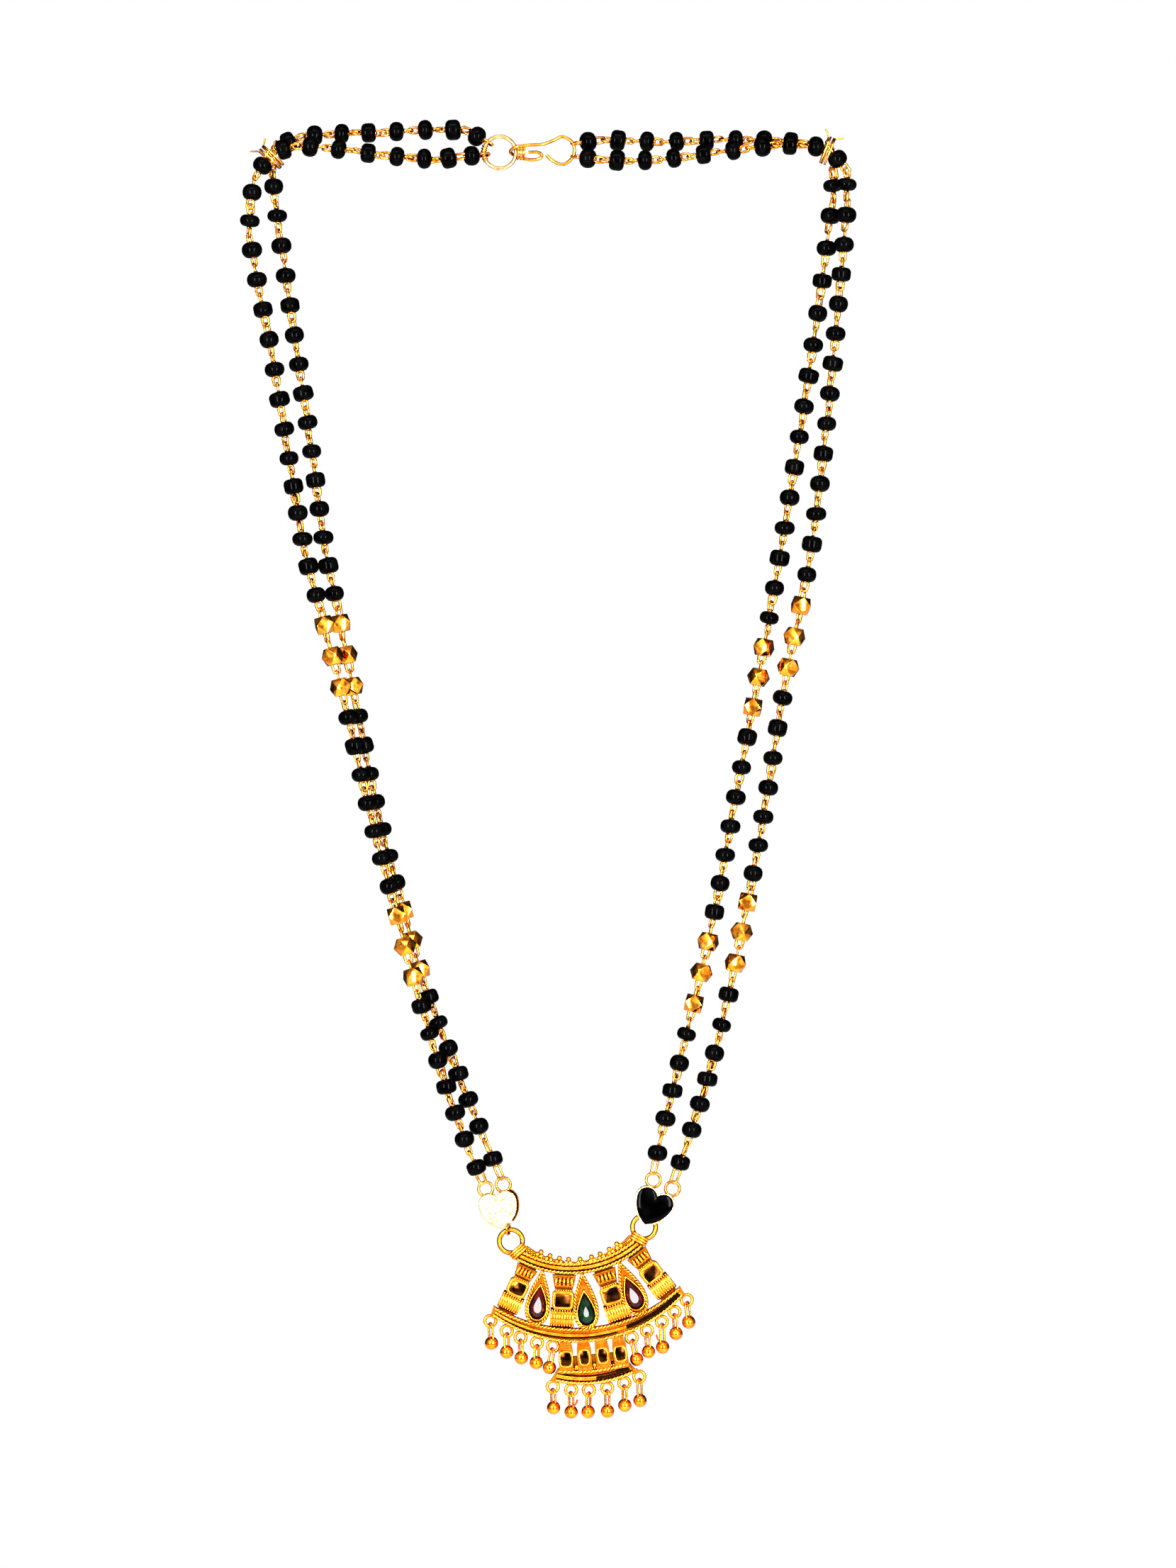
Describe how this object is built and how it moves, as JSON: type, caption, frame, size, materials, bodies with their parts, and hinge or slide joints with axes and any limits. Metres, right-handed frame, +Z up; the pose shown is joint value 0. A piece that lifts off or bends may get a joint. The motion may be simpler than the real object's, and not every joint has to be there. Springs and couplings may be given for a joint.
{
  "type": "beaded necklace with pendant",
  "caption": "Double strand necklace of black glass and faceted gold beads on wire links, with an S hook clasp, heart connectors and a gold fan pendant with pear stones and ball drops.",
  "frame": {"origin": "middle of the top stretch, between the clasp's two sides, where the necklace lies on the back of the neck", "axes": "+X to the viewer's right, -Y to the viewer, in front of the pendant, +Z up"},
  "size_m": [0.1086, 0.0084, 0.2293],
  "materials": {
    "gold": "polished gold plate",
    "black_glass": "glossy opaque black glass",
    "black_enamel": "glossy black enamel",
    "green_stone": "polished dark green cut stone",
    "red_stone": "polished dark red cut stone"
  },
  "bodies": {
    "root": {"glass_beads_left_outer": "black_glass", "glass_beads_left_inner": "black_glass", "glass_beads_right_outer": "black_glass", "glass_beads_right_inner": "black_glass", "gold_beads_left_outer": "gold", "gold_beads_left_inner": "gold", "gold_beads_right_outer": "gold", "gold_beads_right_inner": "gold", "chain_left_outer": "gold", "chain_left_inner": "gold", "chain_right_outer": "gold", "chain_right_inner": "gold", "clasp_ring": "gold", "clasp_hook": "gold", "corner_tie_left": "gold", "corner_tie_right": "gold", "heart_setting_left": "gold", "heart_setting_right": "gold", "heart_enamel_left": "black_enamel", "heart_enamel_right": "black_enamel"},
    "pendant": {"pendant_frame": "gold", "stone_green": "green_stone", "stone_red_left": "red_stone", "stone_red_right": "red_stone", "drop_1": "gold", "drop_2": "gold", "drop_3": "gold", "drop_4": "gold", "drop_5": "gold", "drop_6": "gold", "drop_7": "gold", "drop_8": "gold", "drop_9": "gold", "drop_10": "gold", "drop_11": "gold", "drop_12": "gold", "drop_13": "gold", "drop_14": "gold", "drop_15": "gold", "drop_16": "gold"}
  },
  "joints": [
    {"name": "pendant_swing", "type": "hinge", "parent": "root", "child": "pendant", "pos_m": [0.00412, 0, -0.18911], "axis": [0.9945, 0, 0.1045], "range_deg": [-20, 40]}
  ]
}
